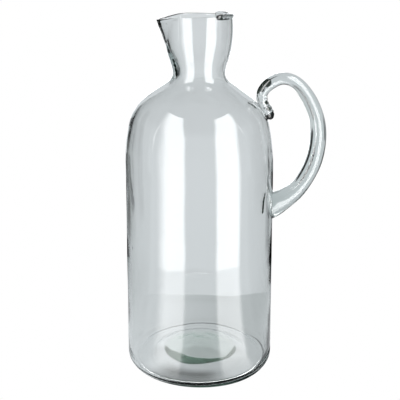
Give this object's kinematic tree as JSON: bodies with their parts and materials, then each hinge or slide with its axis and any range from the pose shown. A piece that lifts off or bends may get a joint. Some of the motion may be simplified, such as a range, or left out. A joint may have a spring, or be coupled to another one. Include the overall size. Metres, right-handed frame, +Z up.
{
  "type": "glass jug",
  "caption": "Tall hand-blown clear glass jug with a narrow waisted neck, a pulled pouring spout and a looped rod handle on the side.",
  "frame": {"origin": "centre of the foot ring, on the surface that the jug stands on and on the axis of the blown body", "axes": "+Z up along the axis of the body, +X towards the handle, so the spout points to -X"},
  "size_m": [0.1853, 0.14, 0.33],
  "materials": {
    "clear_glass": "gloss",
    "green_glass": "gloss"
  },
  "bodies": {
    "root": {"vessel": "clear_glass", "handle": "clear_glass", "lip_trail": "clear_glass", "pontil_pad": "green_glass"}
  },
  "joints": []
}
